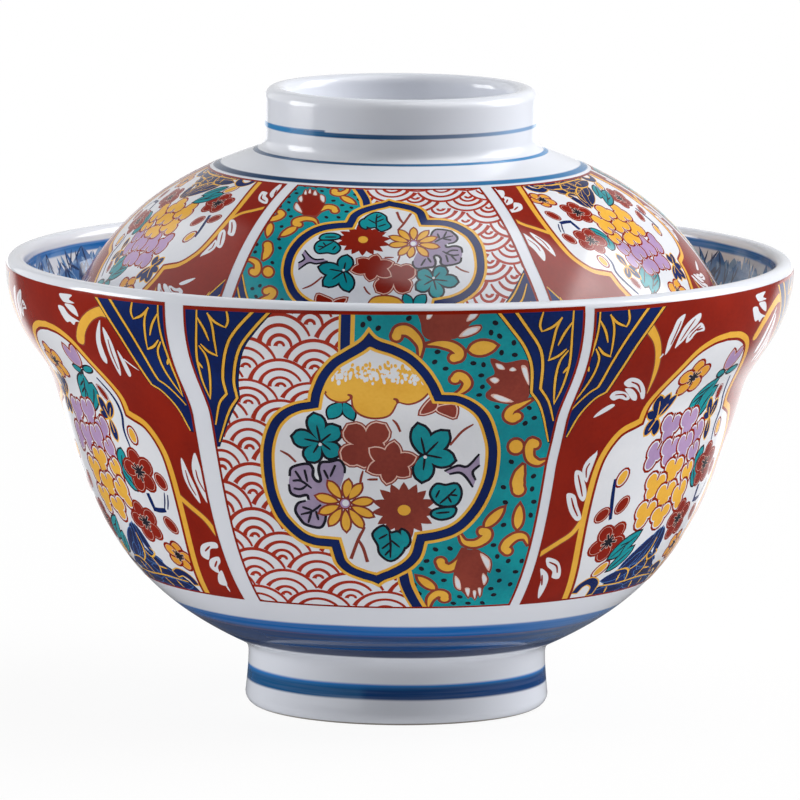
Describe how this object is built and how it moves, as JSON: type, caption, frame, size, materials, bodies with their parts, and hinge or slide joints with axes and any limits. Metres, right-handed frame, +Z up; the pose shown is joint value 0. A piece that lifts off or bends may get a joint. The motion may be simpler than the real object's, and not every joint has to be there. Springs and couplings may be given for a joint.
{
  "type": "lidded noodle bowl",
  "caption": "Deep porcelain noodle bowl with a flared rim and foot ring, closed by a domed lid with a ring grip that drops inside the rim.",
  "frame": {"origin": "centre of the foot ring's resting face", "axes": "+Z up along the turning axis; -Y faces the camera of the picture"},
  "size_m": [0.165, 0.165, 0.1305],
  "materials": {
    "bowl_porcelain": "clear gloss glaze over white porcelain, painted in underglaze blue and overglaze red, green, yellow and gold enamels",
    "lid_porcelain": "clear gloss glaze over white porcelain, painted in underglaze blue and overglaze red, green, yellow and gold enamels"
  },
  "bodies": {
    "bowl": {"bowl": "bowl_porcelain"},
    "lid": {"lid": "lid_porcelain"}
  },
  "joints": [
    {"name": "lid_lift", "type": "slide", "parent": "bowl", "child": "lid", "axis": [0, 0, 1], "range_m": [0, 0.12]}
  ]
}
